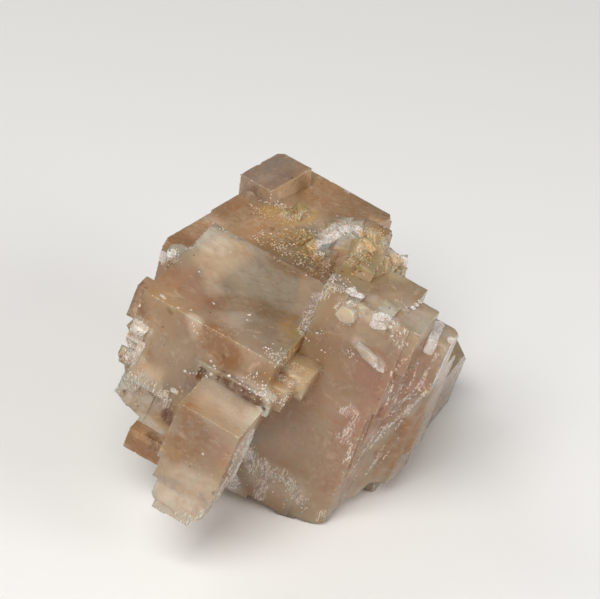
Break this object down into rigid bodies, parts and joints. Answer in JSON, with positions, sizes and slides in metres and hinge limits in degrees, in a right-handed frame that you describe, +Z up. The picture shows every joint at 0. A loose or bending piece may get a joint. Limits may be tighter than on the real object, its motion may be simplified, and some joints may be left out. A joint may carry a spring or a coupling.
{
  "type": "halite crystal cluster",
  "caption": "Cluster of intergrown cubic halite crystals in translucent pinkish brown, blocks tilted against each other, cut flat to rest on a surface.",
  "frame": {"origin": "centre of the bounding box at its bottom, on the surface that the cluster rests on", "axes": "+Z up from the flat cut, -Y towards the viewer who sees the left crystal and the prism in front, +X to that viewer's right"},
  "size_m": [0.066, 0.083, 0.0564],
  "materials": {
    "halite": "satin crystal faces, translucent, with frosted and iron-stained patches"
  },
  "bodies": {
    "root": {"halite_cluster": "halite"}
  },
  "joints": []
}
